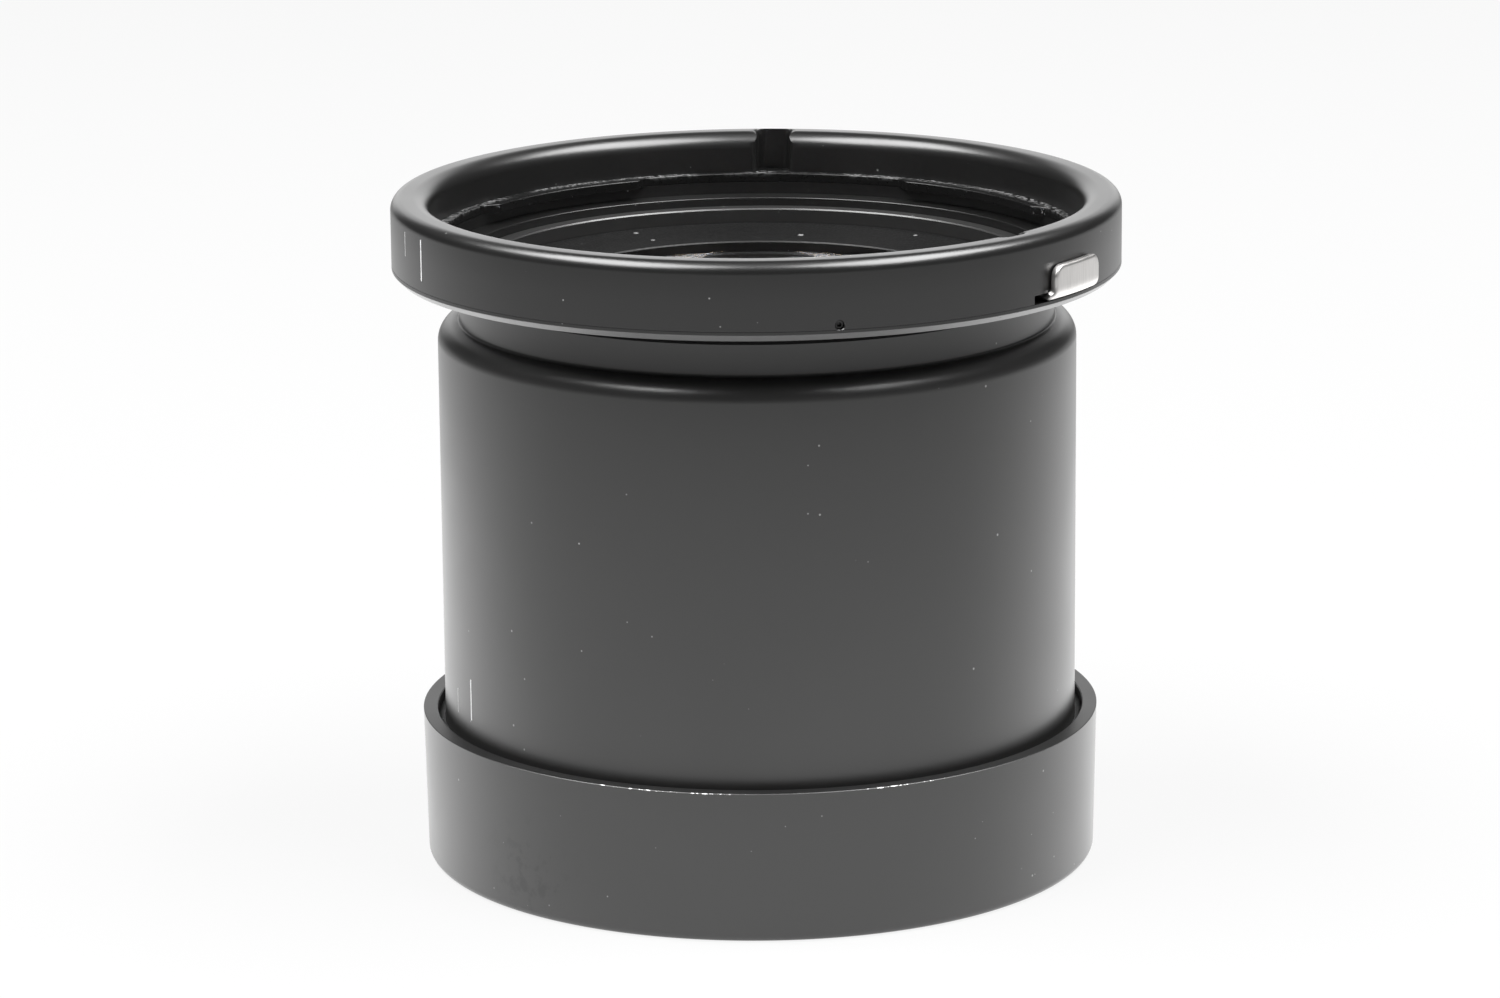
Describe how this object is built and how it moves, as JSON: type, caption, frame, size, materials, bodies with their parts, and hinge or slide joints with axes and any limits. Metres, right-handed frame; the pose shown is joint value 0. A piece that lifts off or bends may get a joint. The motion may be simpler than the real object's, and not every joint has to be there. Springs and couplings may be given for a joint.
{
  "type": "camera teleconverter",
  "caption": "Cylindrical camera teleconverter with a wide front bayonet collar, sprung release lever, glass inside and a slip-on rear cap.",
  "frame": {"origin": "centre of the rear cap's resting face, on the optical axis", "axes": "+Z along the optical axis towards the front collar, -Y towards the viewer of the picture"},
  "size_m": [0.09, 0.09, 0.0834],
  "materials": {
    "black_anodised": "satin black anodised",
    "black_anodised_cap": "satin black anodised, worn at the edge",
    "blackened_brass": "blackened, satin",
    "plated_brass": "satin chrome plated",
    "bright_steel": "brushed",
    "screw_steel": "dark oxide",
    "inner_black": "matt black anodised",
    "coated_glass": "coated, faint lavender",
    "lens_glass": "polished",
    "felt": "black felt"
  },
  "bodies": {
    "converter": {"main_barrel": "black_anodised", "mount_collar": "black_anodised", "collar_base_plate": "black_anodised", "bayonet_claw_ring": "blackened_brass", "collar_screws": "screw_steel", "collar_set_screws": "screw_steel", "lever_spring": "screw_steel", "lens_cell": "inner_black", "front_retaining_ring": "inner_black", "front_glass": "coated_glass", "front_flint_glass": "lens_glass", "front_gap_ring": "inner_black", "middle_glass": "lens_glass", "rear_gap_ring": "inner_black", "rear_crown_glass": "lens_glass", "rear_flint_glass": "lens_glass", "rear_cell": "inner_black", "rear_glass": "coated_glass", "rear_retaining_ring": "inner_black", "rear_bayonet": "plated_brass", "rear_bayonet_screws": "screw_steel"},
    "lever": {"release_lever": "bright_steel"},
    "bolt": {"lock_bolt": "bright_steel", "lock_bolt_pin": "bright_steel"},
    "cap": {"rear_cap": "black_anodised_cap", "cap_felt": "felt"}
  },
  "joints": [
    {"name": "lever_turn", "type": "hinge", "parent": "converter", "child": "lever", "pos_m": [0, 0, 0.0758], "axis": [0, 0, -1], "range_deg": [0, 2.8], "stiffness_Nm_per_rad": 0.8, "springref_deg": -2.86, "deforming": ["lever_spring"]},
    {"name": "bolt_slide", "type": "slide", "parent": "converter", "child": "bolt", "axis": [0.8192, -0.5736, 0], "range_m": [0, 0.0012]},
    {"name": "cap_slide", "type": "slide", "parent": "converter", "child": "cap", "axis": [0, 0, -1], "range_m": [0, 0.03]}
  ],
  "couplings": [
    {"joint": "bolt_slide", "follows": "lever_turn", "m_per_rad": 0.024555}
  ]
}
